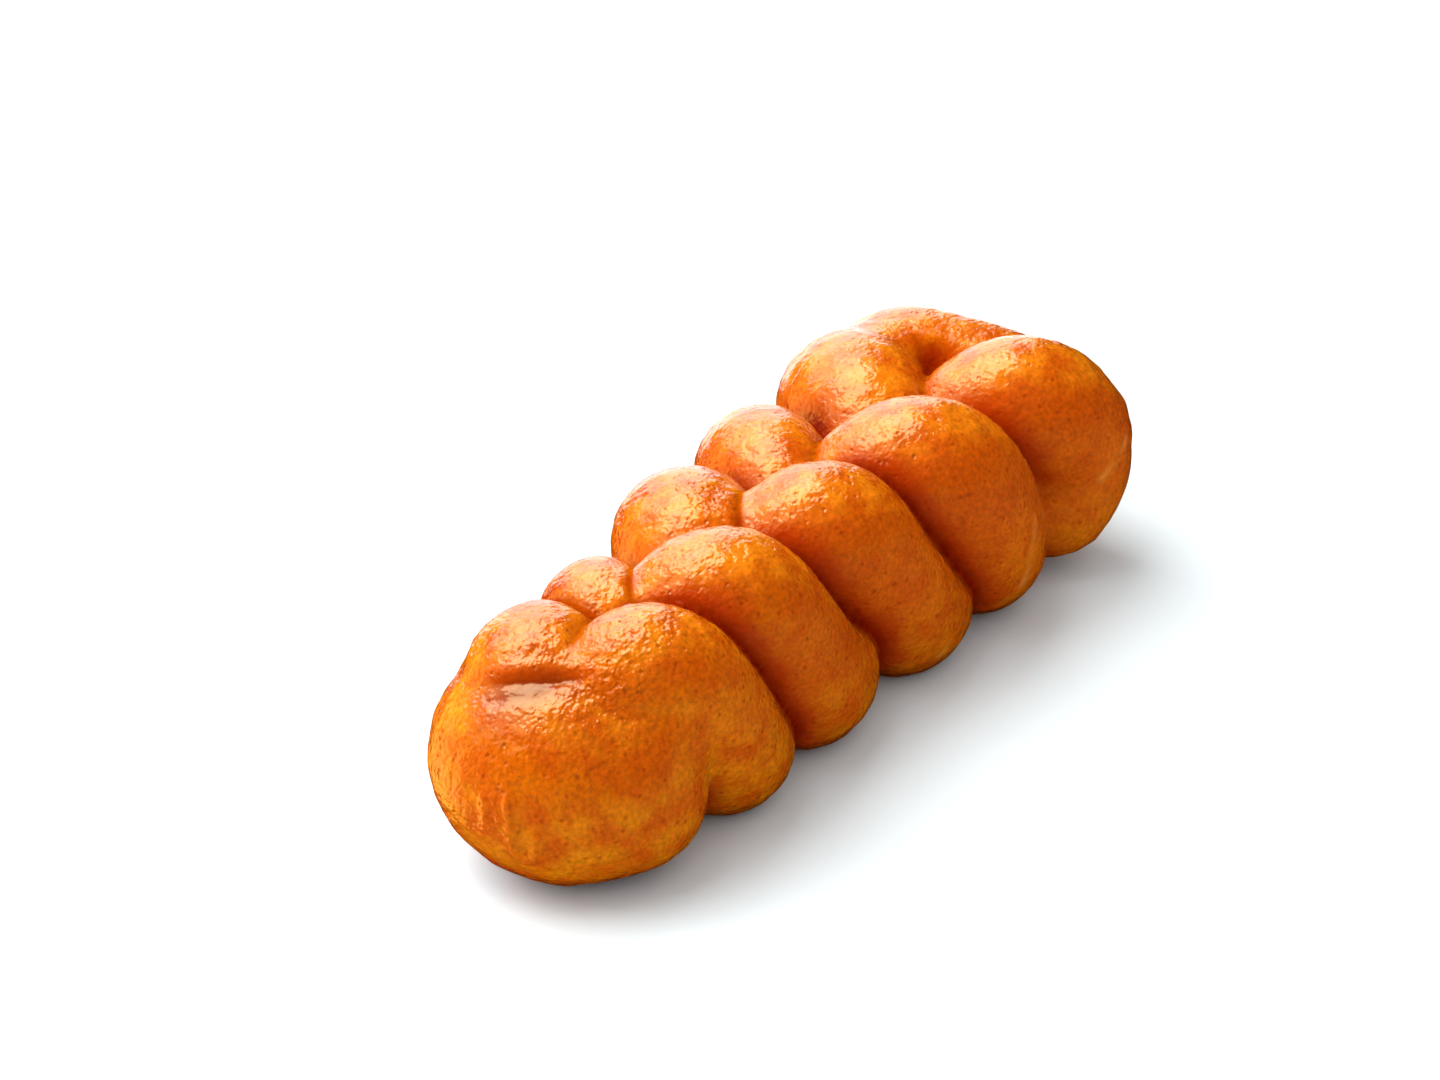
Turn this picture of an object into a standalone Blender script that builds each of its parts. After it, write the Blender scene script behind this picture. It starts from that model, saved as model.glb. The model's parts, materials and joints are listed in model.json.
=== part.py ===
"""Cinnamon twist: a fried plait of three ropes of dough, pinched together at both ends.

It lies along X with its slimmer end at -X, and rests on Z = 0. Sizes are in metres.
"""

import math

import bmesh
import bpy
import numpy as np
from mathutils import Matrix, Vector

MM = 0.001

# The plait: three ropes, each laid over its neighbour in turn, so that a lobe swells out at the
# left (+Y), then one at the right (-Y), then one at the left again.
PITCH = 13.7 * MM  # along the twist, from one lobe to the next one across
MIDDLE_LOBE = 4.5  # the place along the row of lobes that falls at the middle of the plait
RISE = 11.0 * MM  # how far a rope climbs and dips as it crosses over and under
LEAD = math.radians(62.0)  # how far a rope has swung from the middle when it passes its station
STEPS_PER_LOBE = 5  # points along a rope for each lobe it passes

# The dough was rolled and laid by hand, so no two lobes are alike. From the near end on:
# shift along the twist, reach of the core to its side, height of the core, half thickness.
LOBES = (
    (4.5, 10.0, 20.5, 13.5),  # left
    (-1.5, 12.5, 23.5, 12.5),  # right
    (-4.0, 12.5, 22.0, 11.0),  # left, the thin one
    (-6.0, 10.5, 25.0, 14.0),  # right
    (0.0, 16.5, 21.0, 14.0),  # left
    (-2.5, 11.0, 24.5, 13.5),  # right
    (2.5, 21.5, 20.5, 12.5),  # left
    (-2.0, 15.0, 25.0, 14.5),  # right
    (6.5, 22.0, 20.5, 14.5),  # left
    (4.0, 17.0, 24.0, 14.0),  # right
)
# Where each rope starts and stops along the row of lobes; its ends are hidden in the others.
ROPE_ENDS = ((-0.6, 9.2), (-0.3, 8.6), (0.6, 8.7))
# Dough pressed together along the middle, where the ropes leave no gap between them
CORE = ((-52.0, 2.0, 27.0, 12.0), (10.0, 2.0, 27.0, 12.0), (60.0, 2.0, 26.0, 12.0))
# The first three left lobes have baked onto the right ones behind them: how far before its
# station the join starts in each of the two, and how far it has sunk under their tops.
JOINED_LOBES = (0, 2, 4)
JOIN_LEFT = 0.4
JOIN_RIGHT = 0.7
JOIN_SUNK = 0.5 * MM
JOIN_STEPS = 8

# The near end: the ropes are tucked under into one round bulb, from the left to the right.
# Place of the middle and half thickness.
BULB = (
    (-63.5, 8.7, 22.2, 15.4),
    (-66.0, 1.0, 20.5, 20.0),
    (-60.5, -8.5, 16.0, 15.0),
)
# The bulb has baked onto its neighbours: its furrow shows only under the top of the first left
# lobe and low down. The furrow is faint as well where the first two lobes meet in front.
PINCH_HEIGHT = 33.0 * MM
PINCH_ENDS = (-6.0 * MM, 6.5 * MM)  # right and left
TUCK_HEIGHT = 13.0 * MM
FADE = 2.0 * MM
FAINT_PLACE = Vector((-65.0, -3.5, 41.0)) * MM
FAINT_REACH = 4.5 * MM
FAINT_SHARE = 0.15
# The far end: the last left lobe's rope turns across the end and is pinched on behind the last
# right lobe.
CROSSING = (
    (66.0, 19.0, 28.0, 14.0),
    (70.0, 15.0, 30.5, 13.5),
    (75.0, -3.5, 28.5, 12.5),
    (70.0, -12.0, 25.5, 12.0),
)
# The last right lobe turns straight down at its end.
LAST_BEND = (
    (70.0, -17.5, 28.0, 13.5),
    (70.5, -17.5, 21.0, 13.0),
    (68.0, -16.5, 16.5, 13.0),
)
# Under the crossing the ropes' ends are tucked in.
TUCK = ((63.0, 13.0, 16.5, 16.0), (66.0, 0.0, 17.0, 17.0), (63.0, -9.0, 16.5, 14.5))
# Dough pressed in: where the bulb runs into the first right lobe and the first left one, where
# these two meet in front, and where the last left lobe runs into the crossing.
RIGHT_JOIN = ((-63.0, -5.0, 20.5, 17.2), (-50.0, -10.0, 30.0, 12.8))
LEFT_JOIN = ((-63.0, 8.5, 25.0, 14.3), (-60.0, 9.0, 27.0, 13.9))
FRONT_JOIN = ((-58.8, -1.5, 33.0, 10.4), (-58.3, -6.0, 33.2, 10.4))
FAR_JOIN = ((54.0, 18.0, 29.5, 14.0), (68.0, 17.0, 30.0, 13.6))
STEPS_PER_SPAN = 6  # points along the bulb and the crossing for each of their spans

# Fusing the ropes into one body
FUSE_GRID = 1.3 * MM
FACE_SHARE = 0.15  # share of the fine faces that is kept
# The furrow where two ropes have swollen against each other: a wide dip and a narrow cut in it
DIP_DEPTH = 0.5 * MM
DIP_WIDTH = 4.0 * MM
CUT_DEPTH = 0.7 * MM
CUT_WIDTH = 1.5 * MM
# It is cut deeper on top, in the saddles between the left lobes and the right ones.
SADDLE_DEPTH = 0.8 * MM
SADDLE_HEIGHT = 34.0 * MM
SADDLE_SIDE = 4.0 * MM  # how far left of the middle the saddles are
SADDLE_WIDTH = 9.0 * MM

FLATTENED = 1.0 * MM  # how far the lobes, whose heights are given above, have settled flat
CRUST_COLOUR = (0.52, 0.10, 0.005, 1.0)


def clear_scene():
    for item in list(bpy.data.objects):
        bpy.data.objects.remove(item)


def new_collection(name):
    collection = bpy.data.collections.new(name)
    bpy.context.scene.collection.children.link(collection)
    return collection


def ease(share):
    return share * share * (3.0 - 2.0 * share)


def lobe_sizes(rope, place):
    """Shift, reach, height and half thickness of a rope at a place, eased from lobe to lobe."""
    own = LOBES[rope::3]
    step = min(max((place - rope) / 3.0, 0.0), len(own) - 1.0)
    first = min(int(step), len(own) - 2)
    share = ease(step - first)
    pairs = zip(own[first], own[first + 1])
    return [(a + (b - a) * share) * MM for a, b in pairs]


def rope_at(rope, place):
    """Centre point and half thickness of a rope at a place along the row of lobes."""
    shift, reach, height, half = lobe_sizes(rope, place)
    swing = math.pi * (place - rope) / 3.0 + LEAD
    side = -1.0 if rope % 2 else 1.0
    x = (place - MIDDLE_LOBE) * PITCH + shift
    y = side * math.sin(swing) * reach
    z = height + RISE * math.sin(2.0 * swing)
    return Vector((x, y, z)), half


def rope_path(rope):
    """Centre points and half thicknesses along one rope of the plait."""
    start, stop = ROPE_ENDS[rope]
    steps = round((stop - start) * STEPS_PER_LOBE)
    return [rope_at(rope, start + (stop - start) * step / steps) for step in range(steps + 1)]


def middle_join(lobe):
    """Balls of dough that close the valley between a left lobe and the right one behind it."""
    left, left_half = rope_at(lobe % 3, lobe - JOIN_LEFT)
    right, right_half = rope_at((lobe + 1) % 3, lobe + 1 - JOIN_RIGHT)
    row = []
    for step in range(JOIN_STEPS + 1):
        share = step / JOIN_STEPS
        half = left_half + (right_half - left_half) * share - JOIN_SUNK
        row.append((left.lerp(right, share), half))
    return row


def smooth_path(knots):
    """Centre points and half thicknesses on a smooth line through a few knots in millimetres."""
    rows = [Vector(knot) * MM for knot in knots]
    rows = [rows[0]] + rows + [rows[-1]]
    path = []
    for before, a, b, after in zip(rows, rows[1:], rows[2:], rows[3:]):
        for step in range(STEPS_PER_SPAN):
            t = step / STEPS_PER_SPAN
            bend = (2 * before - 5 * a + 4 * b - after) * t * t
            turn = (3 * a - before - 3 * b + after) * t ** 3
            row = 0.5 * (2 * a + (b - before) * t + bend + turn)
            path.append((Vector(row[:3]), row[3]))
    path.append((Vector(rows[-1][:3]), rows[-1][3]))
    return path


def round_off(path):
    """Add a half round to both ends of a path, by points that go on as the thickness falls."""
    first = (path[0][0] - path[1][0]).normalized()
    last = (path[-1][0] - path[-2][0]).normalized()
    ahead = []
    behind = []
    for angle in (20, 40, 58, 74, 85):
        out = math.sin(math.radians(angle))
        narrow = math.cos(math.radians(angle))
        ahead.insert(0, (path[0][0] + first * path[0][1] * out, path[0][1] * narrow))
        behind.append((path[-1][0] + last * path[-1][1] * out, path[-1][1] * narrow))
    return ahead + path + behind


def rope_mesh(name, path):
    """A rope of dough as a closed mesh: a curve with a bevel, made a mesh and then removed."""
    curve = bpy.data.curves.new(name, "CURVE")
    curve.dimensions = "3D"
    curve.bevel_depth = 1.0
    curve.bevel_resolution = 8
    curve.use_fill_caps = True
    spline = curve.splines.new("POLY")
    spline.points.add(len(path) - 1)
    for point, (centre, half) in zip(spline.points, path):
        point.co = (*centre, 1.0)
        point.radius = half
    rope = bpy.data.objects.new(name, curve)
    bpy.context.scene.collection.objects.link(rope)
    depsgraph = bpy.context.evaluated_depsgraph_get()
    mesh = bpy.data.meshes.new_from_object(rope.evaluated_get(depsgraph), depsgraph=depsgraph)
    mesh.transform(rope.matrix_world)
    bpy.data.objects.remove(rope)
    return mesh


def ball_mesh(name, centre, half):
    """A ball of dough as a closed mesh."""
    build = bmesh.new()
    place = Matrix.Translation(centre)
    bmesh.ops.create_uvsphere(build, u_segments=40, v_segments=24, radius=half, matrix=place)
    mesh = bpy.data.meshes.new(name)
    build.to_mesh(mesh)
    build.free()
    return mesh


def gather(name, meshes, collection):
    """One object that holds all the dough, its pieces still passing through each other."""
    build = bmesh.new()
    for mesh in meshes:
        build.from_mesh(mesh)
        bpy.data.meshes.remove(mesh)
    bmesh.ops.remove_doubles(build, verts=build.verts, dist=0.00001)
    gathered = bpy.data.meshes.new(name)
    build.to_mesh(gathered)
    build.free()
    body = bpy.data.objects.new(name, gathered)
    collection.objects.link(body)
    return body


def apply_modifiers(body):
    depsgraph = bpy.context.evaluated_depsgraph_get()
    mesh = bpy.data.meshes.new_from_object(body.evaluated_get(depsgraph), depsgraph=depsgraph)
    body.modifiers.clear()
    body.data = mesh


def keep_outer_skin(body):
    """Drop the skins of the small hollows that the ropes close in between them."""
    build = bmesh.new()
    build.from_mesh(body.data)
    left = set(build.verts)
    skins = []
    while left:
        skin = {left.pop()}
        edge_of_skin = list(skin)
        while edge_of_skin:
            vertex = edge_of_skin.pop()
            reached = {edge.other_vert(vertex) for edge in vertex.link_edges} & left
            left -= reached
            skin |= reached
            edge_of_skin.extend(reached)
        skins.append(skin)
    skins.sort(key=len)
    hidden = [vertex for skin in skins[:-1] for vertex in skin]
    bmesh.ops.delete(build, geom=hidden, context="VERTS")
    build.to_mesh(body.data)
    build.free()


def fuse(body):
    """Fuse the ropes into one closed skin."""
    remesh = body.modifiers.new("fuse", "REMESH")
    remesh.mode = "VOXEL"
    remesh.voxel_size = FUSE_GRID
    smooth = body.modifiers.new("soften", "SMOOTH")
    smooth.factor = 0.5
    smooth.iterations = 1
    apply_modifiers(body)
    keep_outer_skin(body)


def distance_outside(points, path):
    """How far each point is outside the skin of a rope with round sections."""
    nearest = np.full(len(points), 1.0)
    for centre, half in path:
        away = np.linalg.norm(points - np.array(centre), axis=1) - half
        nearest = np.minimum(nearest, away)
    return nearest


def above(values, level):
    """Rises from 0 to 1 as the values pass a level."""
    return 1.0 / (1.0 + np.exp(-(values - level) / FADE))


def furrow_share(points, at_bulb):
    """How much of its full depth the furrow has at each point."""
    pinch = above(points[:, 2], PINCH_HEIGHT)
    pinch *= above(points[:, 1], PINCH_ENDS[0]) * above(-points[:, 1], -PINCH_ENDS[1])
    tuck = above(-points[:, 2], -TUCK_HEIGHT)
    share = np.where(at_bulb, np.maximum(pinch, tuck), 1.0)
    from_faint = np.linalg.norm(points - np.array(FAINT_PLACE), axis=1)
    return share * (1.0 - (1.0 - FAINT_SHARE) * np.exp(-((from_faint / FAINT_REACH) ** 2)))


def saddle_share(points, at_bulb):
    """How much deeper the cut is at each point: in full on top between the two rows of lobes."""
    near_top = above(points[:, 2], SADDLE_HEIGHT)
    near_middle = np.exp(-(((points[:, 1] - SADDLE_SIDE) / SADDLE_WIDTH) ** 2))
    return near_top * near_middle * np.where(at_bulb, 0.0, 1.0)


def furrow(body, ropes, bulb):
    """Press the skin in along every line where two pieces of dough meet."""
    count = len(body.data.vertices)
    points = np.empty(count * 3)
    normals = np.empty(count * 3)
    body.data.vertices.foreach_get("co", points)
    body.data.vertex_normals.foreach_get("vector", normals)
    points = points.reshape(-1, 3)
    normals = normals.reshape(-1, 3)
    away = [distance_outside(points, path) for path in ropes + [bulb]]
    nearest_two = np.argsort(away, axis=0)[:2]
    away = np.sort(away, axis=0)
    gap = away[1] - away[0]
    at_bulb = (nearest_two == len(ropes)).any(axis=0)
    cut_depth = CUT_DEPTH + SADDLE_DEPTH * saddle_share(points, at_bulb)
    depth = DIP_DEPTH * np.exp(-((gap / DIP_WIDTH) ** 2))
    depth += cut_depth * np.exp(-((gap / CUT_WIDTH) ** 2))
    depth *= furrow_share(points, at_bulb)
    points -= normals * depth[:, None]
    body.data.vertices.foreach_set("co", points.ravel())
    body.data.update()


def thin_out(body):
    decimate = body.modifiers.new("fewer_faces", "DECIMATE")
    decimate.ratio = FACE_SHARE
    apply_modifiers(body)


def settle(body):
    """Centre the twist over its origin, and sink it by the depth of its flats."""
    xs, ys, _ = zip(*(vertex.co for vertex in body.data.vertices))
    middle = Vector(((min(xs) + max(xs)) / 2.0, (min(ys) + max(ys)) / 2.0, FLATTENED))
    body.data.transform(Matrix.Translation(-middle))


def flatten_underside(body):
    """Cut the lobes flat where they rest, and close the cuts."""
    build = bmesh.new()
    build.from_mesh(body.data)
    geometry = build.verts[:] + build.edges[:] + build.faces[:]
    cut = bmesh.ops.bisect_plane(
        build,
        geom=geometry,
        dist=0.00002,
        plane_co=(0.0, 0.0, 0.0),
        plane_no=(0.0, 0.0, -1.0),
        clear_outer=True,
    )
    rims = [item for item in cut["geom_cut"] if isinstance(item, bmesh.types.BMEdge)]
    bmesh.ops.holes_fill(build, edges=rims, sides=0)
    bmesh.ops.recalc_face_normals(build, faces=build.faces)
    build.to_mesh(body.data)
    build.free()


def crust_material():
    material = bpy.data.materials.new("fried_crust")
    material.use_nodes = True
    shader = material.node_tree.nodes["Principled BSDF"]
    shader.inputs["Base Color"].default_value = CRUST_COLOUR
    shader.inputs["Roughness"].default_value = 0.35
    shader.inputs["Metallic"].default_value = 0.0
    return material


def dough_paths():
    """The ropes of the plait, and the crossing, tuck and core."""
    ropes = [rope_path(rope) for rope in range(3)]
    ropes[0] += smooth_path(LAST_BEND)
    ropes = [round_off(path) for path in ropes]
    others = [round_off(smooth_path(knots)) for knots in (CROSSING, TUCK, CORE)]
    return ropes, others


def join_balls():
    """The balls of dough in all the joins."""
    balls = []
    for knots in (RIGHT_JOIN, LEFT_JOIN, FRONT_JOIN, FAR_JOIN):
        balls += smooth_path(knots)
    for lobe in JOINED_LOBES:
        balls += middle_join(lobe)
    return balls


def make_twist():
    collection = new_collection("cinnamon_twist")
    ropes, others = dough_paths()
    bulb = smooth_path(BULB)
    meshes = [rope_mesh("rope", path) for path in ropes + others]
    meshes += [ball_mesh("ball", centre, half) for centre, half in bulb + join_balls()]
    twist = gather("twist", meshes, collection)
    fuse(twist)
    seen_crossing = smooth_path(CROSSING[:3])
    furrow(twist, [ropes[0] + others[1], ropes[1], ropes[2] + seen_crossing], bulb)
    thin_out(twist)
    settle(twist)
    flatten_underside(twist)
    twist.data.materials.append(crust_material())
    twist.data.shade_smooth()
    return twist


clear_scene()
make_twist()
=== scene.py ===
# %% [markdown]
# # A cinnamon twist
# A cinnamon twist is a rope of sweet yeast dough, plaited, risen, fried and brushed with a thin
# glaze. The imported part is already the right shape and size, but it is made of flat facets. This
# lesson lays the same ropes again, finely, and gives them the crust of the real thing: furrows
# baked dark, skin that puckered as it dried, and a shine broken up by tiny dimples.
# Everything is in metres, in the part's own frame: X along the twist, Z up, the table at Z = 0.

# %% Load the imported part
import json
import math

import bpy
import numpy as np
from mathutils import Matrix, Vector, noise

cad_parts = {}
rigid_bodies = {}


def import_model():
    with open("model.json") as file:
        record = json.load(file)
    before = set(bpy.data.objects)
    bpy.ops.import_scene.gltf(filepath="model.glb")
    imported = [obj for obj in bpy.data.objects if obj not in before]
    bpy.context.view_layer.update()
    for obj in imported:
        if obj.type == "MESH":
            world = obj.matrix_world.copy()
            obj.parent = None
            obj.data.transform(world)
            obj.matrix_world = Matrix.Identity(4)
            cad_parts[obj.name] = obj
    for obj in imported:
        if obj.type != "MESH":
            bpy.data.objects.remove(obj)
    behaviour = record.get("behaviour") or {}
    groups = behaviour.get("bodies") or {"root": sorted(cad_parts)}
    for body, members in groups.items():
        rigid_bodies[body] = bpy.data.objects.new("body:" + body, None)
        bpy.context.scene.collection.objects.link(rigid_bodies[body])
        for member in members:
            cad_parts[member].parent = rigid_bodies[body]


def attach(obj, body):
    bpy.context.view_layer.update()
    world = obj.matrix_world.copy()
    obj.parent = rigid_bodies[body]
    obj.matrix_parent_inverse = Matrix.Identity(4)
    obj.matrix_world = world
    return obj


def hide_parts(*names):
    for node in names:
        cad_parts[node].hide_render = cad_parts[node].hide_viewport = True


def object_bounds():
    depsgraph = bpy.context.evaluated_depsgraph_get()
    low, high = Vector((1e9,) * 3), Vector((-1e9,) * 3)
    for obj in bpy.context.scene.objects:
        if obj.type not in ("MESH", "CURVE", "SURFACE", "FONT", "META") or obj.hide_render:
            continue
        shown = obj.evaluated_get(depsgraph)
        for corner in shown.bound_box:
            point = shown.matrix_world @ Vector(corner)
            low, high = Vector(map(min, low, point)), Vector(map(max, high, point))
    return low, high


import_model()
cad_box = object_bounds()
MM = 0.001
print("packed part, lowest and highest corner:", cad_box)

# %% [markdown]
# ## The camera
# The photograph looks down on the twist at about thirty degrees, past its slimmer end. A long
# lens keeps the far end nearly as large as the near one. The camera could be aimed by hand until
# the picture fits. Here one point in the middle of the twist and the pixel that shows it are
# named, and the aim follows from them, so the view can be checked against the photograph.

# %% Place the camera
IMAGE_WIDTH = 1440
IMAGE_HEIGHT = 1080
LENS_MM = 100.0
SENSOR_MM = 36.0
VIEW_AZIMUTH = math.radians(-55.7)
VIEW_ELEVATION = math.radians(30.0)
VIEW_DISTANCE = 0.714
MIDDLE_POINT = Vector((-0.7, -2.7, 21.0)) * MM
MIDDLE_PIXEL = (777.6, 591.0)

level = Vector((math.sin(VIEW_AZIMUTH), -math.cos(VIEW_AZIMUTH), 0.0))
to_viewer = level * math.cos(VIEW_ELEVATION) + Vector((0.0, 0.0, math.sin(VIEW_ELEVATION)))
to_right = Vector((math.cos(VIEW_AZIMUTH), math.sin(VIEW_AZIMUTH), 0.0))
view_up = to_viewer.cross(to_right)
metres_per_pixel = VIEW_DISTANCE * SENSOR_MM / LENS_MM / IMAGE_WIDTH
aim = MIDDLE_POINT - to_right * (MIDDLE_PIXEL[0] - IMAGE_WIDTH / 2) * metres_per_pixel
aim += view_up * (MIDDLE_PIXEL[1] - IMAGE_HEIGHT / 2) * metres_per_pixel


def facing(direction):
    """The turn that points an object's own Z axis along a direction."""
    return direction.to_track_quat("Z", "Y").to_euler()


bpy.ops.object.select_all(action="DESELECT")
bpy.ops.object.camera_add(location=aim + to_viewer * VIEW_DISTANCE, rotation=facing(to_viewer))
camera = bpy.context.object
camera.name = "camera"
camera.data.lens = LENS_MM
camera.data.sensor_width = SENSOR_MM
camera.data.clip_start = 0.01
bpy.context.scene.camera = camera
print("camera at", [round(value, 3) for value in camera.location])

# %% [markdown]
# ## Adding shader nodes
# Every finish below is a small net of nodes. One helper adds a node, sets what is not left at
# its default, and links what comes in. Colours are written as sRGB hex, as a colour picker
# shows them, and turned to the linear values that the shader works in.

# %% Helpers for materials
def linear(hex_colour):
    """An sRGB hex colour as linear red, green, blue and alpha."""
    levels = [int(hex_colour[place : place + 2], 16) / 255.0 for place in (1, 3, 5)]
    return [v / 12.92 if v <= 0.04045 else ((v + 0.055) / 1.055) ** 2.4 for v in levels] + [1.0]


def add_node(tree, kind, settings=None, inputs=None):
    """Add a node; an input is given as a value, or as an output socket to link from."""
    node = tree.nodes.new(kind)
    for name, value in (settings or {}).items():
        setattr(node, name, value)
    for name, value in (inputs or {}).items():
        if isinstance(value, bpy.types.NodeSocket):
            tree.links.new(value, node.inputs[name])
        else:
            node.inputs[name].default_value = value
    return node


def new_finish(name):
    """A material and its node tree, with only a Principled shader and the output in it."""
    material = bpy.data.materials.new(name)
    material.use_nodes = True
    return material, material.node_tree, material.node_tree.nodes["Principled BSDF"]


# %% [markdown]
# ## The studio
# The twist was photographed on a white sweep. One wide soft light hangs behind it and to its
# left, and lays a soft grey shadow towards the viewer's right. White walls all round light the
# rest, so the world is plain white, and the floor has a trace of blue against the orange light
# that the crust throws on it.
#
# What the glaze mirrors is set apart from what lights the crust, as a photographer does with
# cards: bright overhead, dimmer level with the table, where a glaze mirrors most, and a warm
# card low at the left. With one big window for both, the lobes' backs would turn chalk white.

# %% Floor and lights
FLOOR_SIZE = 6.0
ROOM_LIGHT = 0.37

bpy.ops.mesh.primitive_plane_add(size=FLOOR_SIZE)
floor = bpy.context.object
floor.name = "floor"
material, tree, shader = new_finish("white_studio_paper")
shader.inputs["Base Color"].default_value = linear("#e8f2f4")
shader.inputs["Roughness"].default_value = 0.9
shader.inputs["Specular IOR Level"].default_value = 0.0
floor.data.materials.append(material)
floor.visible_glossy = False


def hang_softbox(name, turned, raised, away, wide, high, power):
    """A soft light that faces the twist. It is turned from straight behind the twist,
    as the camera sees it, towards the right, and raised above the table, in degrees."""
    turn = math.radians(turned)
    rise = math.radians(raised)
    flat = to_right * math.sin(turn) - level * math.cos(turn)
    direction = flat * math.cos(rise) + Vector((0.0, 0.0, math.sin(rise)))
    place = MIDDLE_POINT + direction * away
    bpy.ops.object.light_add(type="AREA", location=place, rotation=facing(direction))
    softbox = bpy.context.object
    softbox.name = name
    softbox.data.shape = "RECTANGLE"
    softbox.data.size = wide
    softbox.data.size_y = high
    softbox.data.energy = power
    return softbox


# Name, turned, raised, how far away, width, height and power of the lights on the crust
SOFTBOXES = (
    ("window_softbox", -72.0, 56.0, 1.0, 1.2, 1.2, 20.5),
    ("front_fill", 160.0, 55.0, 1.0, 1.2, 1.2, 4.0),
    ("side_bounce", -100.0, 14.0, 1.0, 0.8, 0.5, 3.0),
)
# The same of the cards that the glaze mirrors, and their colour
CARDS = (
    ("overhead_card", -38.0, 65.0, 0.9, 0.75, 0.6, 15.0, "#ffffff"),
    ("window_card", -24.0, 33.0, 0.9, 1.05, 0.5, 6.3, "#ffffff"),
    ("backdrop_card", -8.0, 0.0, 0.9, 0.65, 0.62, 2.9, "#ffffff"),
    ("left_card", -92.0, 52.0, 0.9, 0.7, 0.7, 3.0, "#ffffff"),
    ("warm_side_card", -72.0, -12.0, 0.9, 0.8, 0.95, 9.0, "#ffc060"),
)
for row in SOFTBOXES:
    softbox = hang_softbox(*row)
    softbox.visible_glossy = False
for *row, tint in CARDS:
    card = hang_softbox(*row)
    card.data.color = linear(tint)[:3]
    card.visible_diffuse = False
print("hung", len(SOFTBOXES), "softboxes and", len(CARDS), "cards")

world = bpy.data.worlds.new("white_room")
bpy.context.scene.world = world
world.use_nodes = True
world.node_tree.nodes["Background"].inputs["Color"].default_value = linear("#ffffff")
world.node_tree.nodes["Background"].inputs["Strength"].default_value = ROOM_LIGHT
world.cycles_visibility.glossy = False
bpy.context.scene.view_settings.view_transform = "Standard"

# %% [markdown]
# ## The plait, in numbers
# Three ropes of dough cross over each other in turn. Each time one passes over, it swells out
# as a lobe, at the left (+Y) and the right (-Y) in turn. So the plait could be drawn rope by
# rope, but it is easier to read lobe by lobe, which is also how it shows in the photograph. The
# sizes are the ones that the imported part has, in millimetres.

# %% Sizes of the plait
PITCH = 13.7 * MM  # along the twist, from one lobe to the next one across
MIDDLE_LOBE = 4.5  # the place along the row of lobes that falls at the middle of the plait
RISE = 11.0 * MM  # how far a rope climbs and dips as it crosses over and under
LEAD = math.radians(62.0)  # how far a rope has swung from the middle when it passes its station
STEPS_PER_LOBE = 10
# For each lobe: shift along the twist, reach to its side, height, half thickness
LOBES = (
    (4.5, 10.0, 20.5, 13.5),
    (-1.5, 12.5, 23.5, 12.5),
    (-4.0, 12.5, 22.0, 11.0),
    (-6.0, 10.5, 25.0, 14.0),
    (0.0, 16.5, 21.0, 14.0),
    (-2.5, 11.0, 24.5, 13.5),
    (2.5, 21.5, 20.5, 12.5),
    (-2.0, 15.0, 25.0, 14.5),
    (6.5, 22.0, 20.5, 14.5),
    (4.0, 17.0, 24.0, 14.0),
)
ROPE_ENDS = ((-0.6, 9.2), (-0.3, 8.6), (0.6, 8.7))
# The first three left lobes have baked onto the right ones behind them: how far before its
# station the join starts in each of the two, and how far it has sunk under their tops
JOINED_LOBES = (0, 2, 4)
JOIN_LEFT = 0.4
JOIN_RIGHT = 0.7
JOIN_SUNK = 0.5 * MM
JOIN_STEPS = 8


def ease(share):
    """A share of a way from 0 to 1, with a smooth start and stop."""
    return share * share * (3.0 - 2.0 * share)


def lobe_sizes(rope, place):
    """Shift, reach, height and half thickness of a rope at a place, eased from lobe to lobe."""
    own = LOBES[rope::3]
    step = min(max((place - rope) / 3.0, 0.0), len(own) - 1.0)
    first = min(int(step), len(own) - 2)
    share = ease(step - first)
    pairs = zip(own[first], own[first + 1])
    return [(a + (b - a) * share) * MM for a, b in pairs]


def rope_at(rope, place):
    """Centre point and half thickness of a rope at a place along the row of lobes."""
    shift, reach, height, half = lobe_sizes(rope, place)
    swing = math.pi * (place - rope) / 3.0 + LEAD
    side = -1.0 if rope % 2 else 1.0
    x = (place - MIDDLE_LOBE) * PITCH + shift
    y = side * math.sin(swing) * reach
    z = height + RISE * math.sin(2.0 * swing)
    return Vector((x, y, z)), half


def rope_path(rope):
    """Centre points and half thicknesses along one rope of the plait."""
    start, stop = ROPE_ENDS[rope]
    steps = round((stop - start) * STEPS_PER_LOBE)
    return [rope_at(rope, start + (stop - start) * step / steps) for step in range(steps + 1)]


def middle_join(lobe):
    """Balls of dough that close the valley between a left lobe and the right one behind it."""
    left, left_half = rope_at(lobe % 3, lobe - JOIN_LEFT)
    right, right_half = rope_at((lobe + 1) % 3, lobe + 1 - JOIN_RIGHT)
    row = []
    for step in range(JOIN_STEPS + 1):
        share = step / JOIN_STEPS
        centre = left.lerp(right, share)
        half = left_half + (right_half - left_half) * share - JOIN_SUNK
        row.append((centre, half))
    return row


plait = [rope_path(rope) for rope in range(3)]
print("points along each rope of the plait:", [len(path) for path in plait])

# %% [markdown]
# ## The two ends
# At the near end the ropes are tucked under into one round bulb. At the far end the last left
# rope turns across and is pinched on behind the last right lobe, which itself turns down to the
# table. These few bends have no rhythm to work out, so each is a short list of places that a
# smooth line runs through (a Catmull-Rom line, because it passes through every place).

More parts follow.
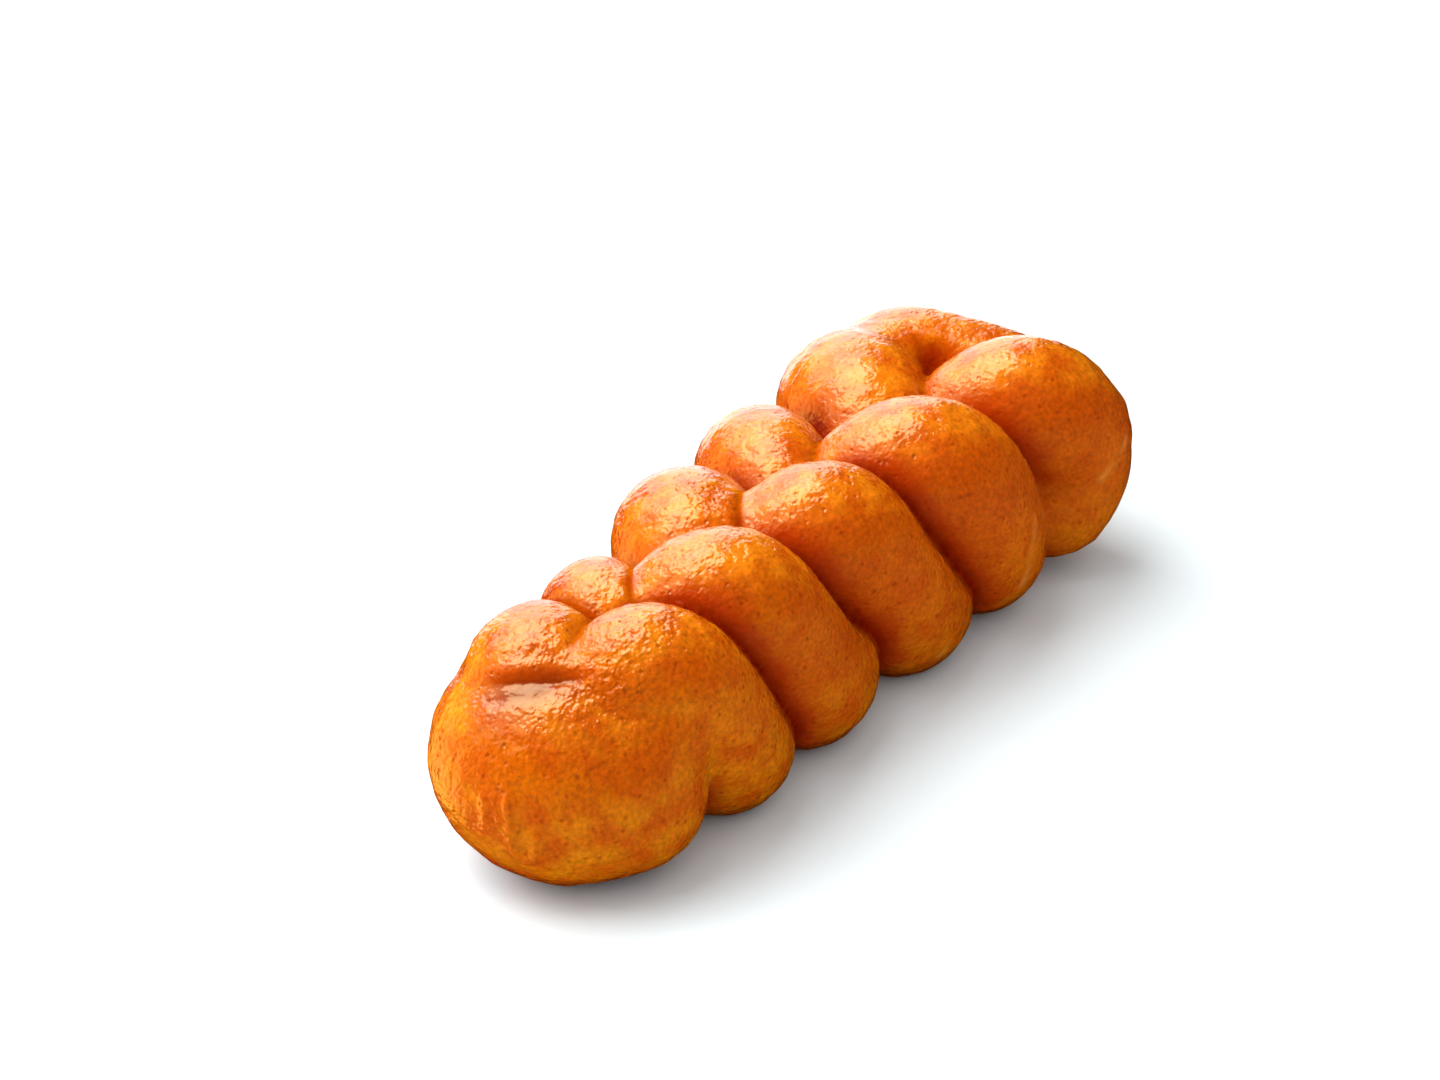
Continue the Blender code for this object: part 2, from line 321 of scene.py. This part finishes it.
# %% Sizes of the ends
BULB = ((-63.5, 8.7, 22.2, 15.4), (-66.0, 1.0, 20.5, 20.0), (-60.5, -8.5, 16.0, 15.0))
CROSSING = (
    (66.0, 19.0, 28.0, 14.0),
    (70.0, 15.0, 30.5, 13.5),
    (75.0, -3.5, 28.5, 12.5),
    (70.0, -12.0, 25.5, 12.0),
)
LAST_BEND = ((70.0, -17.5, 28.0, 13.5), (70.5, -17.5, 21.0, 13.0), (68.0, -16.5, 16.5, 13.0))
TUCK = ((63.0, 13.0, 16.5, 16.0), (66.0, 0.0, 17.0, 17.0), (63.0, -9.0, 16.5, 14.5))
CORE = ((-52.0, 2.0, 27.0, 12.0), (10.0, 2.0, 27.0, 12.0), (60.0, 2.0, 26.0, 12.0))
# Dough pressed in: where the bulb runs into the first right lobe and the first left one, where
# these two meet in front, and where the last left lobe runs into the crossing
RIGHT_JOIN = ((-63.0, -5.0, 20.5, 17.2), (-50.0, -10.0, 30.0, 12.8))
LEFT_JOIN = ((-63.0, 8.5, 25.0, 14.3), (-60.0, 9.0, 27.0, 13.9))
FRONT_JOIN = ((-58.8, -1.5, 33.0, 10.4), (-58.3, -6.0, 33.2, 10.4))
FAR_JOIN = ((54.0, 18.0, 29.5, 14.0), (68.0, 17.0, 30.0, 13.6))
STEPS_PER_SPAN = 10


def smooth_path(knots):
    """Centre points and half thicknesses on a smooth line through a few knots in millimetres."""
    rows = [Vector(knot) * MM for knot in knots]
    rows = [rows[0]] + rows + [rows[-1]]
    path = []
    for before, a, b, after in zip(rows, rows[1:], rows[2:], rows[3:]):
        for step in range(STEPS_PER_SPAN):
            t = step / STEPS_PER_SPAN
            bend = (2 * before - 5 * a + 4 * b - after) * t * t
            turn = (3 * a - before - 3 * b + after) * t**3
            row = 0.5 * (2 * a + (b - before) * t + bend + turn)
            path.append((Vector(row[:3]), row[3]))
    path.append((Vector(rows[-1][:3]), rows[-1][3]))
    return path


def round_off(path):
    """Add a half round to both ends of a path, by points that go on as the thickness falls."""
    first = (path[0][0] - path[1][0]).normalized()
    last = (path[-1][0] - path[-2][0]).normalized()
    ahead = []
    behind = []
    for angle in (20, 40, 58, 74, 85):
        out = math.sin(math.radians(angle))
        narrow = math.cos(math.radians(angle))
        ahead.insert(0, (path[0][0] + first * path[0][1] * out, path[0][1] * narrow))
        behind.append((path[-1][0] + last * path[-1][1] * out, path[-1][1] * narrow))
    return ahead + path + behind


plait[0] += smooth_path(LAST_BEND)
plait = [round_off(path) for path in plait]
bulb = smooth_path(BULB)
crossing = round_off(smooth_path(CROSSING))
tuck = round_off(smooth_path(TUCK))
core = round_off(smooth_path(CORE))
joins = []
for knots in (RIGHT_JOIN, LEFT_JOIN, FRONT_JOIN, FAR_JOIN):
    joins += smooth_path(knots)
for lobe in JOINED_LOBES:
    joins += middle_join(lobe)
print("bulb is", len(bulb), "balls of dough in a row")

# %% [markdown]
# ## Laying the ropes
# A rope of dough is a round section swept along a path, thicker here and thinner there. A curve
# object does just that: each point has a radius, and the bevel sweeps a circle along it. The
# alternative, extruding a circle ring by ring, needs far more steps for the same skin.

# %% Lay the ropes as curves, and make them meshes
def lay_rope(path):
    """A rope of dough as a closed mesh, from a curve that is swept with a round section."""
    bpy.ops.object.select_all(action="DESELECT")
    bpy.ops.curve.primitive_nurbs_path_add(location=(0.0, 0.0, 0.0))
    curve = bpy.context.object.data
    curve.splines.clear()
    spline = curve.splines.new("POLY")
    spline.points.add(len(path) - 1)
    for point, (centre, half) in zip(spline.points, path):
        point.co = (*centre, 1.0)
        point.radius = half
    curve.bevel_depth = 1.0
    curve.bevel_resolution = 12
    curve.use_fill_caps = True
    bpy.ops.object.convert(target="MESH")
    return bpy.context.object


def roll_ball(centre, half):
    """A ball of dough."""
    bpy.ops.object.select_all(action="DESELECT")
    bpy.ops.mesh.primitive_uv_sphere_add(
        segments=56, ring_count=32, radius=half, location=centre
    )
    return bpy.context.object


dough = [lay_rope(path) for path in plait + [crossing, tuck, core]]
dough += [roll_ball(centre, half) for centre, half in bulb + joins]
print("laid", len(dough), "pieces of dough")

# %% [markdown]
# ## Fusing the dough
# Risen dough swells and bakes together into one skin. A Boolean union would leave hard seams
# and slivers. A voxel remesh instead lays one even net over the outside of all the pieces, and
# even faces are what the relief further down needs. A light smoothing then melts the seams.

# %% Fuse the dough into one skin
SKIN_GRID = 0.69 * MM


def apply_modifier(piece, kind, **settings):
    """Add a modifier with its settings, and apply it."""
    modifier = piece.modifiers.new(kind.lower(), kind)
    for name, value in settings.items():
        setattr(modifier, name, value)
    bpy.ops.object.select_all(action="DESELECT")
    piece.select_set(True)
    bpy.context.view_layer.objects.active = piece
    bpy.ops.object.modifier_apply(modifier=modifier.name)


def keep_outer_skin(piece):
    """Delete the small hollows that the ropes close in: all that isn't joined to the top."""
    bpy.ops.object.mode_set(mode="EDIT")
    bpy.ops.mesh.select_mode(type="VERT")
    bpy.ops.mesh.select_all(action="DESELECT")
    bpy.ops.object.mode_set(mode="OBJECT")
    top = max(piece.data.vertices, key=lambda vertex: vertex.co.z)
    top.select = True
    bpy.ops.object.mode_set(mode="EDIT")
    bpy.ops.mesh.select_linked()
    bpy.ops.mesh.select_all(action="INVERT")
    bpy.ops.mesh.delete(type="VERT")
    bpy.ops.object.mode_set(mode="OBJECT")


bpy.ops.object.select_all(action="DESELECT")
for piece in dough:
    piece.select_set(True)
bpy.context.view_layer.objects.active = dough[0]
bpy.ops.object.join()
bpy.ops.object.transform_apply(location=True, rotation=True, scale=True)
twist = bpy.context.object
twist.name = "fried_twist"
twist.data.name = "fried_twist"
apply_modifier(twist, "REMESH", mode="VOXEL", voxel_size=SKIN_GRID)
apply_modifier(twist, "SMOOTH", factor=0.5, iterations=3)
keep_outer_skin(twist)
print("skin has", len(twist.data.vertices), "vertices")

# %% [markdown]
# ## Where the ropes meet
# The furrows follow the lines where two ropes are equally near. So for each point of the skin,
# its distance to every rope is measured, and the difference between the nearest two is the gap:
# nought in the bottom of a furrow and growing away from it. The same numbers later say where the
# crust is dark, which no noise pattern could.

# %% Measure the gap between the two nearest ropes
def read_skin(piece):
    """The places and normals of all vertices, as rows of x, y, z."""
    count = len(piece.data.vertices)
    points = np.empty(count * 3)
    normals = np.empty(count * 3)
    piece.data.vertices.foreach_get("co", points)
    piece.data.vertex_normals.foreach_get("vector", normals)
    return points.reshape(-1, 3), normals.reshape(-1, 3)


def press(piece, depth):
    """Press each vertex in along its normal by its own depth."""
    points, normals = read_skin(piece)
    points -= normals * depth[:, None]
    piece.data.vertices.foreach_set("co", points.ravel())
    piece.data.update()


def distance_outside(points, path):
    """How far each point is outside the skin of a rope with round sections."""
    nearest = np.full(len(points), 1.0)
    for (centre, half), (next_centre, next_half) in zip(path, path[1:]):
        for share in (0.0, 0.25, 0.5, 0.75):
            here = np.array(centre.lerp(next_centre, share))
            away = np.linalg.norm(points - here, axis=1) - half - (next_half - half) * share
            nearest = np.minimum(nearest, away)
    return nearest


places, _ = read_skin(twist)
strands = [plait[0] + tuck, plait[1], plait[2] + smooth_path(CROSSING[:3]), bulb]
away = np.array([distance_outside(places, path) for path in strands])
nearest_two = np.argsort(away, axis=0)[:2]
away.sort(axis=0)
gap = away[1] - away[0]
at_bulb = (nearest_two == len(strands) - 1).any(axis=0)
print("gap from", round(gap.min() / MM, 2), "to", round(gap.max() / MM, 1), "mm")

# %% [markdown]
# ## Pressing the furrows
# Each furrow is a wide dip, where the ropes swell away from each other, with a narrow cut at
# its bottom. In the saddles between left and right lobes the dip has nearly closed. The bulb
# has baked onto its neighbours: there the furrow shows only under the top of the first left lobe
# and low down. It is faint as well where the first two lobes meet in front.

# %% Press the furrows
DIP_DEPTH = 0.5 * MM
DIP_WIDTH = 4.0 * MM
CUT_DEPTH = 0.6 * MM
CUT_WIDTH = 1.2 * MM
SADDLE_FILL = 0.7  # how much of the dip is filled in the saddles
SADDLE_HEIGHT = 34.0 * MM
SADDLE_SIDE = 4.0 * MM  # how far left of the middle the saddles are
SADDLE_WIDTH = 9.0 * MM
PINCH_HEIGHT = 33.0 * MM
PINCH_ENDS = (-6.0 * MM, 6.5 * MM)  # right and left
TUCK_HEIGHT = 13.0 * MM
FADE = 2.0 * MM
FAINT_PLACE = Vector((-65.0, -3.5, 41.0)) * MM
FAINT_REACH = 4.5 * MM
FAINT_SHARE = 0.15


def above(values, middle):
    """Rises from 0 to 1 as the values pass the middle."""
    return 1.0 / (1.0 + np.exp(-(values - middle) / FADE))


def swell(values, middle, half_width):
    """A smooth swelling, 1 in the middle."""
    return np.exp(-(((values - middle) / half_width) ** 2))


pinch = above(places[:, 2], PINCH_HEIGHT)
pinch *= above(places[:, 1], PINCH_ENDS[0]) * above(-places[:, 1], -PINCH_ENDS[1])
tucked = above(-places[:, 2], -TUCK_HEIGHT)
furrow_share = np.where(at_bulb, np.maximum(pinch, tucked), 1.0)
from_faint = np.linalg.norm(places - np.array(FAINT_PLACE), axis=1)
furrow_share *= 1.0 - (1.0 - FAINT_SHARE) * swell(from_faint, 0.0, FAINT_REACH)
cut = swell(gap, 0.0, CUT_WIDTH) * furrow_share
dip = swell(gap, 0.0, DIP_WIDTH) * furrow_share
saddle = above(places[:, 2], SADDLE_HEIGHT) * swell(places[:, 1], SADDLE_SIDE, SADDLE_WIDTH)
saddle *= np.where(at_bulb, 0.0, 1.0)
press(twist, DIP_DEPTH * dip * (1.0 - SADDLE_FILL * saddle) + CUT_DEPTH * cut)
apply_modifier(twist, "SMOOTH", factor=0.5, iterations=2)
print("furrows up to", round((DIP_DEPTH + CUT_DEPTH) / MM, 1), "mm deep")

# %% [markdown]
# ## The pinch and the folds
# Under the top of the first two lobes the dough was pinched shut: a sharp line with a steep
# slope over it and a thin lip under it. Low on the bulb, the end of a rope shows as a drop-shaped
# fold with two creases beside it. Both are lines that run over the skin, so each is a row of
# places in millimetres, and the skin is raised or pressed by its distance to that line.

# %% Pinch the near end and raise its folds
PINCH_LINE = (
    (-73.2, 3.7, 39.0),
    (-72.0, 1.4, 39.3),
    (-70.3, -0.9, 39.5),
    (-68.0, -3.8, 39.5),
)
PINCH_SIDE = Vector((-0.67, -0.44, -0.53))  # from the line towards the bulb
# In millimetres: how deep the dough is pressed in, or raised where the number is below nought,
# how far below the line, and over what half width
PINCH_SECTION = ((0.5, 0.0, 0.8), (-0.35, 1.7, 0.9), (-0.5, -2.4, 1.4))
# Height and half width of a fold, and the places it runs through
FOLDS = (
    (
        1.0,
        1.0,
        (
            (-84.7, -3.4, 25.2),
            (-85.1, -4.0, 22.5),
            (-85.2, -4.4, 19.2),
            (-84.6, -4.6, 15.6),
            (-83.8, -5.5, 13.7),
            (-83.3, -6.8, 13.8),
            (-83.4, -8.2, 16.1),
            (-83.7, -8.3, 18.7),
        ),
    ),
    (0.6, 0.8, ((-85.6, 0.7, 24.2), (-85.9, 0.1, 19.1))),
    (0.6, 0.8, ((-85.0, -1.1, 25.5), (-85.6, -2.2, 20.6))),
)


def from_line(points, knots):
    """For each point, the way from the nearest place on a line through the knots."""
    way = np.full(points.shape, 1.0)
    for first, last in zip(knots, knots[1:]):
        start = np.array(first) * MM
        run = np.array(last) * MM - start
        share = np.clip((points - start) @ run / max(run @ run, MM**2), 0.0, 1.0)
        off = points - (start + share[:, None] * run)
        nearer = np.linalg.norm(off, axis=1) < np.linalg.norm(way, axis=1)
        way[nearer] = off[nearer]
    return way


way = from_line(places, PINCH_LINE)
across = way @ np.array(PINCH_SIDE)
beside = np.sqrt(np.maximum((way**2).sum(axis=1) - across**2, 0.0))
pinch_share = swell(beside, 0.0, 2.5 * MM) * swell(across, 0.0, 6.0 * MM)
pinch_relief = np.zeros(len(places))
for depth, aside, half_width in PINCH_SECTION:
    pinch_relief += depth * MM * swell(across, aside * MM, half_width * MM)
press(twist, pinch_relief * pinch_share)
for fold_height, half_width, knots in FOLDS:
    distance = np.linalg.norm(from_line(places, knots), axis=1)
    press(twist, -fold_height * MM * swell(distance, 0.0, half_width * MM))
print("pinched along", len(PINCH_LINE), "places, raised", len(FOLDS), "folds")

# %% [markdown]
# ## Puckers and dimples
# The crust sets while the dough under it still moves, so the skin is never quite smooth: broad
# soft puckers a few millimetres across, and between them small dimples. This relief is moved
# into the mesh, because a bump in the shader alone would leave the outline too clean.

# %% Raise the puckers
PUCKER_SIZE = 9.0 * MM
PUCKER_HEIGHT = 0.22 * MM
DIMPLE_SIZE = 2.3 * MM
DIMPLE_HEIGHT = 0.15 * MM


def noise_over(points, size):
    """A smooth random value between about -1 and 1 for each point, on bumps of a given size."""
    return np.array([noise.noise(Vector(point) / size) for point in points])


relief = PUCKER_HEIGHT * noise_over(places, PUCKER_SIZE)
relief += DIMPLE_HEIGHT * noise_over(places, DIMPLE_SIZE)
press(twist, relief)
print("relief within", round(abs(relief).max() / MM, 2), "mm")

# %% [markdown]
# ## Settling on the table
# The lobes rest on small flats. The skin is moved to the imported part's place and sunk by the
# depth of the flats. They are cut further down, once everything that goes by the number of the
# skin's vertices has been measured.

# %% Settle the twist
FLATTENED = 1.0 * MM

points, _ = read_skin(twist)
middle = (Vector(points.min(axis=0)) + Vector(points.max(axis=0))) / 2
cad_middle = (Vector(cad_box[0]) + Vector(cad_box[1])) / 2
shift = cad_middle - middle
shift.z = -FLATTENED
twist.location = shift
bpy.ops.object.transform_apply(location=True, rotation=False, scale=False)
print("moved by", [round(value / MM, 2) for value in shift], "mm")

# %% [markdown]
# ## Marks on the skin
# The colours below follow where a place is on the twist: painted light on the tops and on the
# sides that face the window softbox, painted shade on the shoulder under them, in a furrow on its
# side away from the light, along its bottom and in a deep well between three lobes, a painted
# reflection along the right ends of the last two right lobes and a pale mark low on another, the
# dull seam at a furrow's bottom, or where it is blistered. Each is measured once for every vertex,
# and kept on the mesh as a value that the material reads. Painting an image would need a flat
# layout of the skin.

# %% Measure the marks
BLISTER_PLACE = (-65.5, -10.0, 38.0)
BLISTER_REACH = 10.0 * MM
# Each well between three lobes, from its bottom up the slope behind it; shade is painted dark red
# into it
WELLS = (
    ((62.0, 7.5, 39.5), (63.2, 7.8, 40.3)),
    ((34.0, 14.5, 36.0), (34.0, 14.5, 36.0)),
)
WELL_SHADE_REACH = 4.0 * MM
HOLLOW_REACH = 5.5 * MM  # how far round the first well there is no gloss
# Pale streaks: the first two are a painted reflection of the white room along the right ends of
# the last two right lobes, the third is a pale mark low on a right lobe
STREAKS = (
    ((40.3, -27.1, 12.3), (40.0, -29.3, 27.0)),
    ((64.5, -29.3, 24.2), (71.4, -30.4, 29.9)),
    ((16.4, -24.2, 7.4), (18.0, -23.6, 9.0)),
)
STREAK_REACH = 0.9 * MM
SEAM_WIDTH = 0.9 * MM
# How dark the seam is painted as shade in the saddles, where the rest of the cut isn't
SEAM_DARKNESS = 0.6  # in the saddles, where the rest of the cut isn't dark
# The upward part of the skin's normal: where the painted light on the tops starts and is full, and
# where the painted shade on the shoulders is, with its half width. The painted light reaches
# further down on the side of a lobe that faces the window softbox.
TOP_START = 0.62
TOP_REACHED = 0.92
SHOULDER = 0.5
SHOULDER_WIDTH = 0.3
LIGHT_SIDE_LIFT = 0.5
# How much of the painted shade in a furrow is left on the side of it that faces the far end, how
# fast that changes with the slope, and how much of it the saddles and the pinch take away
SIDE_SHADE_FLOOR = 0.12
SIDE_SHADE_SLOPE = 1.4
SADDLE_LIGHT = 0.9
PINCH_LIGHT = 0.75


def near_lines(points, lines, reach):
    """1 on the nearest of a few lines, falling off with the distance to it."""
    distances = [np.linalg.norm(from_line(points, line), axis=1) for line in lines]
    return swell(np.min(distances, axis=0), 0.0, reach)


_, normals = read_skin(twist)
# Painted light on the tops and on the sides that face the window softbox; painted shade on the
# shoulders
light_facing_side = np.clip(normals[:, :2], 0.0, 1.0).sum(axis=1).clip(0.0, 1.0)
rise = normals[:, 2] + LIGHT_SIDE_LIFT * light_facing_side
painted_top_light = np.clip((rise - TOP_START) / (TOP_REACHED - TOP_START), 0.0, 1.0)
shoulder_shade = swell(normals[:, 2], SHOULDER, SHOULDER_WIDTH) * (1.0 - light_facing_side)
# Painted shade in the furrows, strongest on the side that faces away from the window softbox
furrow_side_shade = dip * np.clip(0.5 - SIDE_SHADE_SLOPE * normals[:, 0], SIDE_SHADE_FLOOR, 1.0)
furrow_side_shade *= 1.0 - SADDLE_LIGHT * saddle
furrow_side_shade *= np.where(at_bulb, 1.0 - PINCH_LIGHT * pinch, 1.0)
seam = swell(gap, 0.0, SEAM_WIDTH) * furrow_share * np.where(at_bulb, 1.0 - pinch, 1.0)
dull = np.maximum(seam, near_lines(places, WELLS[:1], HOLLOW_REACH))
marks = (
    ("blister", near_lines(places, [(BLISTER_PLACE, BLISTER_PLACE)], BLISTER_REACH)),
    ("dull", dull),
    ("well_shade", near_lines(places, WELLS, WELL_SHADE_REACH)),
    ("pale_streak_and_sheen", near_lines(places, STREAKS, STREAK_REACH)),
    ("furrow_line_shade", cut * (1.0 - saddle) + SEAM_DARKNESS * seam * saddle),
    ("painted_top_light", painted_top_light),
    ("shoulder_shade", shoulder_shade),
    ("furrow_side_shade", furrow_side_shade),
    ("pinch_side", np.clip(across / MM, -6.0, 6.0)),
    ("pinch_share", pinch_share),
)
for name, values in marks:
    attribute = twist.data.attributes.new(name, "FLOAT", "POINT")
    attribute.data.foreach_set("value", values.astype(np.float32))
print("marked the skin with", len(marks), "values")

# %% [markdown]
# ## The flats it rests on
# All that is under the table's level is cut away. Bisect could fill the cuts itself, but where
# the table only just touches the skin that makes faces with a corner twice, so the open rims are
# closed in a second step.

# %% Cut the flats
FLAT_TOLERANCE = 0.02 * MM

bpy.ops.object.mode_set(mode="EDIT")
bpy.ops.mesh.select_all(action="SELECT")
bpy.ops.mesh.bisect(
    plane_co=(0.0, 0.0, 0.0),
    plane_no=(0.0, 0.0, 1.0),
    clear_inner=True,
    threshold=FLAT_TOLERANCE,
)
bpy.ops.mesh.select_all(action="SELECT")
bpy.ops.mesh.fill_holes(sides=0)
bpy.ops.object.mode_set(mode="OBJECT")
bpy.ops.object.shade_smooth()
lowest = min(vertex.co.z for vertex in twist.data.vertices)
print("lowest point at", round(lowest / MM, 2), "mm, in", len(twist.data.polygons), "faces")

# %% [markdown]
# ## The crust
# Fried yeast dough browns to a deep orange. It is golden at the near end and mottled all over by
# the bubbles under the skin. Light and shade are painted over that: golden on the tops and on the
# left and far side of each lobe, which face the window softbox, redder on the shoulders at the
# right, dark red down in the furrows and in the wells, on the slope over the pinch and along its
# line, and darker near the table, partly painted shade and partly a browned underside. Pale
# painted reflections run along the right ends of the last two right lobes. One colour with noise
# over it would look like plastic, so the colour is laid in coats, as a painter would: large
# patches, the painted shade of the shoulders and the painted light of the tops, fine mottling,
# and then the marks, from furrow to pinch.

# %% Colours of the crust
PATCH_SIZE = 16.0 * MM
MOTTLE_SIZE = 5.0 * MM
GRAIN_SIZE = 0.8 * MM


def mix_colours(tree, share, first, second, blend="MIX"):
    """The output of a Mix node that goes from one colour to another."""
    settings = {"data_type": "RGBA", "blend_type": blend}
    mix = add_node(tree, "ShaderNodeMix", settings, {0: share, 6: first, 7: second})
    return mix.outputs[2]


def remap(tree, value, low, high, to_low=0.0, to_high=1.0):
    """The output of a Map Range node."""
    limits = {"From Min": low, "From Max": high, "To Min": to_low, "To Max": to_high}
    return add_node(tree, "ShaderNodeMapRange", {}, {"Value": value, **limits}).outputs["Result"]


def calculate(tree, operation, *values):
    """The output of a Math node."""
    numbered = dict(enumerate(values))
    return add_node(tree, "ShaderNodeMath", {"operation": operation}, numbered).outputs[0]


def noise_value(tree, place, size, detail=2.0):
    """The output of a Noise Texture whose bumps have a real size in metres."""
    settings = {"Vector": place, "Scale": 1.0 / size, "Detail": detail}
    return add_node(tree, "ShaderNodeTexNoise", {}, settings).outputs["Fac"]


def skin_value(tree, name, share=1.0):
    """A share of a value that was measured at every vertex of the skin."""
    value = add_node(tree, "ShaderNodeAttribute", {"attribute_name": name}).outputs["Fac"]
    return calculate(tree, "MULTIPLY", value, share)


def paint(tree, colour, share, tone):
    """Lay a tone, given as sRGB hex, over the colour so far, as thick as the share says."""
    return mix_colours(tree, share, colour, linear(tone))


material, tree, shader = new_finish("glazed_fried_crust")
place = add_node(tree, "ShaderNodeTexCoord").outputs["Object"]
parts = add_node(tree, "ShaderNodeSeparateXYZ", {}, {"Vector": place}).outputs
along, height = parts["X"], parts["Z"]
pinch_side = skin_value(tree, "pinch_side")
pinch_here = skin_value(tree, "pinch_share")

patches = remap(tree, noise_value(tree, place, PATCH_SIZE), 0.35, 0.65)
colour = mix_colours(tree, patches, linear("#d86602"), linear("#c85202"))
colour = paint(tree, colour, remap(tree, height, 26.0 * MM, 8.0 * MM), "#cc6a02")
colour = paint(tree, colour, remap(tree, along, 10.0 * MM, -75.0 * MM, 0.0, 0.5), "#d67e02")
# Painted shade: redder on the shoulders, the middle slopes that face away from the window softbox
colour = paint(tree, colour, skin_value(tree, "shoulder_shade", 0.55), "#bc4402")
# Painted light: golden on the tops and on the sides that face the window softbox
colour = paint(tree, colour, skin_value(tree, "painted_top_light", 0.8), "#e8800c")

mottle = noise_value(tree, place, MOTTLE_SIZE, 4.0)
colour = paint(tree, colour, remap(tree, mottle, 0.38, 0.64, 0.0, 0.85), "#c04a02")
grain = remap(tree, noise_value(tree, place, GRAIN_SIZE), 0.3, 0.7, 0.76, 1.13)
colour = mix_colours(tree, 1.0, colour, grain, "MULTIPLY")

# Painted shade, dark red, in the furrows on the side away from the light
furrow_side_shade_share = remap(tree, skin_value(tree, "furrow_side_shade"), 0.0, 0.7, 0.0, 0.8)
colour = paint(tree, colour, furrow_side_shade_share, "#a42801")
# Painted shade: a dark line along the bottom of each furrow
colour = paint(tree, colour, skin_value(tree, "furrow_line_shade"), "#701001")
# Painted shade, dark red, in the wells between three lobes
colour = paint(tree, colour, skin_value(tree, "well_shade", 0.85), "#7a0e01")
# Painted reflection along the right ends of the last two right lobes, and a pale mark low on
# another
pale_streak_and_sheen_share = calculate(tree, "MULTIPLY", skin_value(tree, "pale_streak_and_sheen", 0.7), patches)
colour = paint(tree, colour, pale_streak_and_sheen_share, "#f0a040")
# Darker near the table: partly a browned underside and partly painted shade where it meets the
# table
colour = paint(tree, colour, remap(tree, height, 7.0 * MM, 1.0 * MM, 0.0, 0.75), "#7c1c02")

# Painted shade on the steep slope over the pinch line
pinch_slope_shade = calculate(tree, "MULTIPLY", remap(tree, pinch_side, 1.0, -1.5, 0.0, 0.6), pinch_here)
colour = paint(tree, colour, pinch_slope_shade, "#b83c02")
# Painted shade along the pinch line itself
line = remap(tree, calculate(tree, "ABSOLUTE", pinch_side), 0.6, 0.25)
line = calculate(tree, "MULTIPLY", line, remap(tree, pinch_here, 0.3, 1.0, 0.0, 0.4))
colour = paint(tree, colour, line, "#6a0c01")
print("crust has", len(tree.nodes), "shader nodes so far")

# %% [markdown]
# ## The glaze
# The shine is a thin film of sugar glaze. It has taken on the colour of the crust, so what it
# mirrors straight on is tinted cream. The pores are finer than the mesh can hold, so they are a
# bump, which breaks up the edge of every highlight into specks: strongest where the crust is
# blistered near the pinch, finer towards the far end. The brush doesn't reach the bottoms of the
# furrows, so they have no gloss at all, where a rougher gloss would lie in them as a grey veil.

# %% Shine and dimples
GLAZE_IOR = 1.6
SHINE = 0.3
PORE_SIZE = 1.15 * MM
PORE_HEIGHT = 0.3
PIT_SIZE = 1.6 * MM
PIT_DEPTH = 0.13

pores = noise_value(tree, place, PORE_SIZE, 1.0)
cells = add_node(tree, "ShaderNodeTexVoronoi", {}, {"Vector": place, "Scale": 1.0 / PIT_SIZE})
chance = add_node(tree, "ShaderNodeSeparateColor", {}, {"Color": cells.outputs["Color"]})
pitted = remap(tree, chance.outputs["Red"], 0.5, 0.6)
pit = calculate(tree, "MULTIPLY", remap(tree, cells.outputs["Distance"], 0.32, 0.08), pitted)
blistered = remap(tree, skin_value(tree, "blister"), 0.0, 1.0, PORE_HEIGHT, 2.2 * PORE_HEIGHT)
relief_mm = calculate(tree, "MULTIPLY", pores, blistered)
relief_mm = calculate(tree, "MULTIPLY_ADD", pit, -PIT_DEPTH, relief_mm)
towards_far = remap(tree, along, -60.0 * MM, 75.0 * MM, 1.15, 0.65)
relief_mm = calculate(tree, "MULTIPLY", relief_mm, towards_far)
in_furrow = remap(tree, skin_value(tree, "furrow_line_shade"), 0.1, 0.6, 1.0, 0.3)
relief_mm = calculate(tree, "MULTIPLY", relief_mm, in_furrow)
heights = {"Height": relief_mm, "Strength": 1.0, "Distance": MM}
bump = add_node(tree, "ShaderNodeBump", {}, heights)
tree.links.new(bump.outputs["Normal"], shader.inputs["Normal"])
colour = paint(tree, colour, calculate(tree, "MULTIPLY", pit, 0.5), "#8a2402")
tree.links.new(colour, shader.inputs["Base Color"])

shader.inputs["IOR"].default_value = GLAZE_IOR
shader.inputs["Roughness"].default_value = 0.17
shader.inputs["Specular Tint"].default_value = linear("#f4eeb0")
shader.inputs["Specular IOR Level"].default_value = SHINE
shine = remap(tree, skin_value(tree, "dull"), 0.1, 0.6, SHINE, 0.0)
tree.links.new(shine, shader.inputs["Specular IOR Level"])
twist.data.materials.clear()
twist.data.materials.append(material)
print("crust on", len(twist.data.polygons), "faces")

# %% [markdown]
# ## Handing over
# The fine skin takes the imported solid's place in the picture, and moves with its body.

# %% Finish
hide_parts("twist")
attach(twist, "root")
